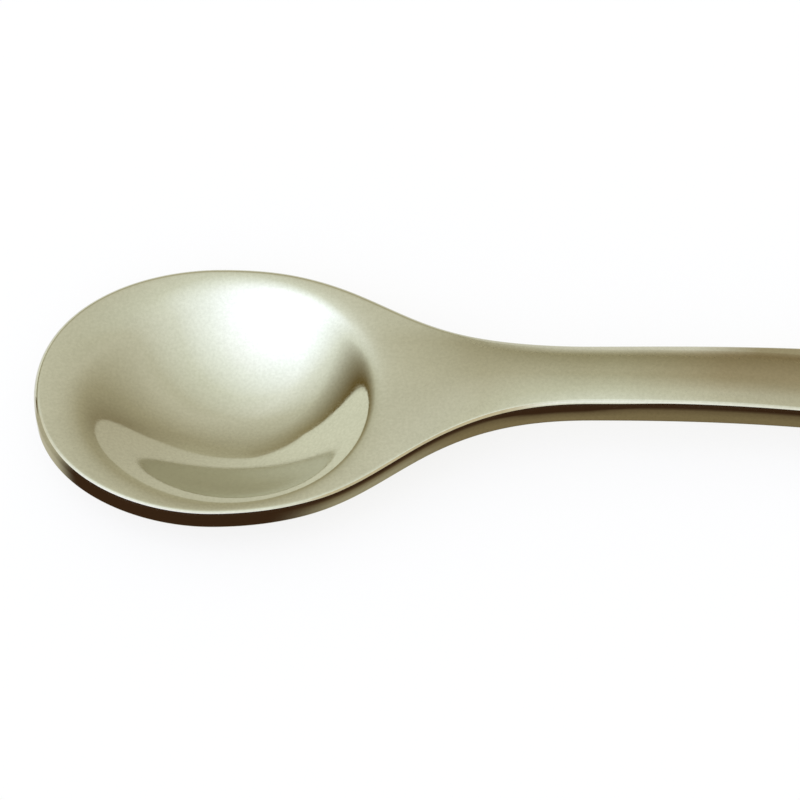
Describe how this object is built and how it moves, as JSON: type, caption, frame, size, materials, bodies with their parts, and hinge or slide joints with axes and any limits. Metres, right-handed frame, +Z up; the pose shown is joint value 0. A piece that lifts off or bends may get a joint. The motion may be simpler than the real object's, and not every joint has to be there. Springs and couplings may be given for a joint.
{
  "type": "baby spoon",
  "caption": "Small one-piece steel spoon with a shallow oval bowl, a broad flat rim and an arched, softly crowned handle, for feeding a baby.",
  "frame": {"origin": "on the table, under the middle of the spoon's length and width", "axes": "+X from the tip of the bowl to the end of the handle, +Y across the spoon, +Z up out of the open bowl"},
  "size_m": [0.135, 0.028, 0.0089],
  "materials": {
    "steel": "warm polished stainless steel with a fine lengthwise and tumbled grain"
  },
  "bodies": {
    "root": {"spoon": "steel"}
  },
  "joints": []
}
